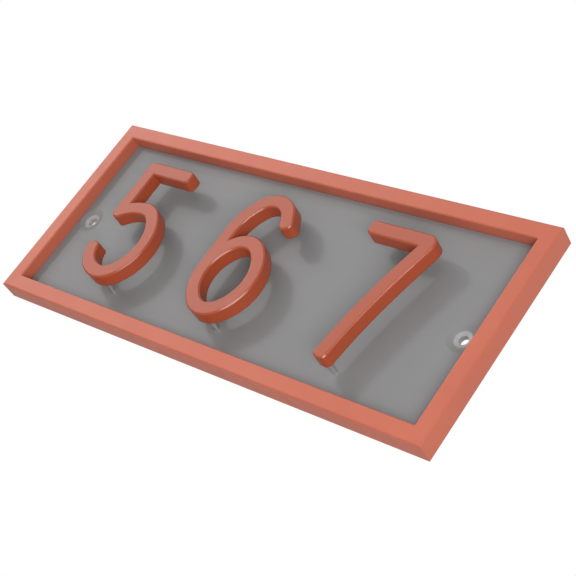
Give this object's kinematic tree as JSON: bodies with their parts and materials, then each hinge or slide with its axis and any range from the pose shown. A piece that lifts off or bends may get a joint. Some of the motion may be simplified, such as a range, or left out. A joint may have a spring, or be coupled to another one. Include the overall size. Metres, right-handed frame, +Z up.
{
  "type": "house number plaque",
  "caption": "Rectangular wall plaque with a painted raised frame, a recessed satin metal plate and rounded numerals floating on standoff pins.",
  "frame": {"origin": "midway between the two screw holes, on the wall plane at the back of the frame", "axes": "+X to the right along the row of numerals, +Z up, the front faces -Y"},
  "size_m": [0.3, 0.0197, 0.122],
  "materials": {
    "coral_paint": "satin coral paint on die-cast aluminium",
    "coral_numeral": "satin coral paint on cast numerals",
    "satin_metal": "fine satin grey sheet, softly reflective",
    "pin_steel": "bright turned steel"
  },
  "bodies": {
    "root": {"frame": "coral_paint", "plate": "satin_metal", "numeral_five": "coral_numeral", "numeral_six": "coral_numeral", "numeral_seven": "coral_numeral", "pin_five_lower": "pin_steel", "pin_five_upper": "pin_steel", "pin_six_lower": "pin_steel", "pin_six_upper": "pin_steel", "pin_seven_lower": "pin_steel", "pin_seven_upper": "pin_steel"}
  },
  "joints": []
}
